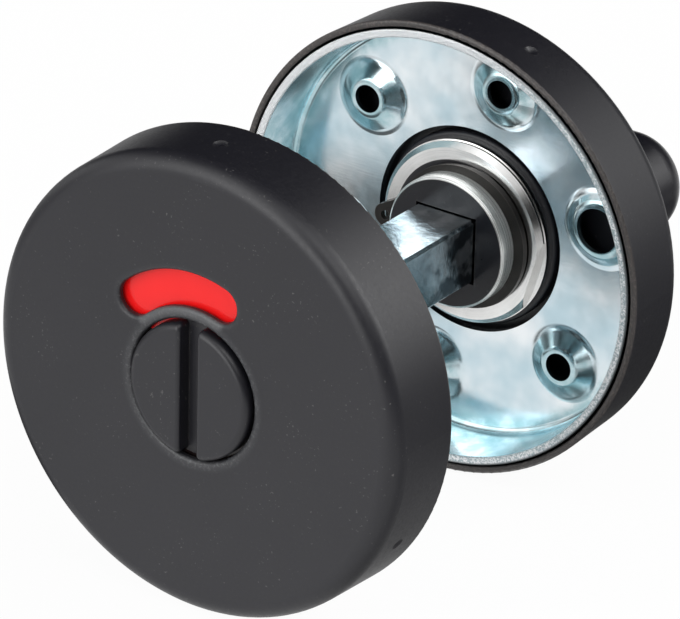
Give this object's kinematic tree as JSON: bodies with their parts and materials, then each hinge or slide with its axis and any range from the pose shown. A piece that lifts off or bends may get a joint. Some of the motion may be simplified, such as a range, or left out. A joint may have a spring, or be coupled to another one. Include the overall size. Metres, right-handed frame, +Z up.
{
  "type": "bathroom thumb turn and release set",
  "caption": "Two round black roses joined by a square spindle: a coin release with a coloured indicator window outside, and a thumb turn inside.",
  "frame": {"origin": "on the spindle axis, half way through the door, where the lock's follower sits", "axes": "+Y along the spindle from the coin release to the thumb turn, +Z up the door, +X to the right seen from the coin release"},
  "size_m": [0.055, 0.0805, 0.055],
  "materials": {
    "matte_black": "matte black powder coat with fine texture",
    "zinc_sheet": "bright zinc plating with a blue passivation",
    "zinc_bar": "drawn square bar, bright zinc plating",
    "nickel": "turned and nickel plated",
    "spring_steel": "phosphated spring steel",
    "indicator_red": "printed in red and white quarters",
    "nylon": "moulded black nylon"
  },
  "bodies": {
    "inside_rose": {"inside_cover": "matte_black", "inside_base_plate": "zinc_sheet", "inside_bush": "matte_black", "bush_washer": "nickel", "collar_nut": "nickel"},
    "inside_turn": {"thumb_turn": "matte_black", "spindle": "zinc_bar", "inside_circlip": "spring_steel"},
    "outside_rose": {"outside_cover": "matte_black", "outside_base_plate": "zinc_sheet", "outside_bearing": "nylon"},
    "release": {"release_turn": "matte_black", "indicator_disc": "indicator_red", "outside_circlip": "spring_steel"}
  },
  "joints": [
    {"name": "thumb_turn_spin", "type": "hinge", "parent": "inside_rose", "child": "inside_turn", "pos_m": [0, 0.028, 0], "axis": [0, 1, 0], "range_deg": [0, 90]},
    {"name": "door_slide", "type": "slide", "parent": "inside_rose", "child": "outside_rose", "axis": [0, -1, 0], "range_m": [-0.004, 0.006]},
    {"name": "release_spin", "type": "hinge", "parent": "outside_rose", "child": "release", "pos_m": [0, -0.028, 0], "axis": [0, 1, 0], "range_deg": [0, 90]}
  ],
  "couplings": [
    {"joint": "release_spin", "follows": "thumb_turn_spin", "ratio": 1}
  ]
}
